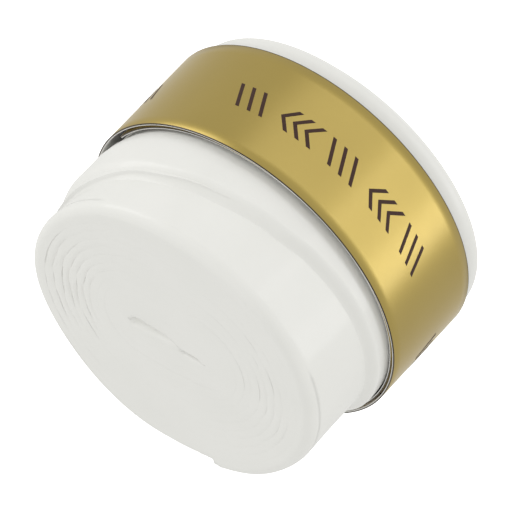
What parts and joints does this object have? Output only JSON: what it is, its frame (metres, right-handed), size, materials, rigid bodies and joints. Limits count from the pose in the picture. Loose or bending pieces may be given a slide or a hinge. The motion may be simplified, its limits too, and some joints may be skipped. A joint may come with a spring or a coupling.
{
  "type": "grip tape roll",
  "caption": "Roll of cushioned white grip tape with a slanted outer end, wound flat around a collapsed slit and held by a loose gold foil-faced card sleeve with plain bar and chevron print.",
  "frame": {"origin": "centre of the roll's far, flat-wound end, which the roll stands on", "axes": "+Z along the roll's axis, up to the end with the centre slit; the slit lies 25 degrees from +X towards +Y; +X is the side where the sleeve's inner end stands off the roll"},
  "size_m": [0.0426, 0.0428, 0.03],
  "materials": {
    "grip_polyurethane": "satin",
    "grip_felt": "matte felt",
    "adhesive": "tacky film",
    "liner_paper": "smooth coated paper",
    "finishing_vinyl": "matte",
    "sleeve_card": "uncoated white card",
    "sleeve_foil": "satin gold metallised print",
    "sleeve_ink": "matte dark brown ink"
  },
  "bodies": {
    "roll": {"grip_surface": "grip_polyurethane", "grip_backing": "grip_felt", "starter_adhesive": "adhesive", "starter_release_liner": "liner_paper", "finishing_tape": "finishing_vinyl", "finishing_tape_liner": "liner_paper"},
    "sleeve": {"sleeve_card": "sleeve_card", "sleeve_foil": "sleeve_foil", "sleeve_glue_strip": "adhesive", "sleeve_print_marks": "sleeve_ink"}
  },
  "joints": [
    {"name": "sleeve_slide", "type": "slide", "parent": "roll", "child": "sleeve", "axis": [0, 0, 1], "range_m": [-0.0032, 0.0267]}
  ]
}
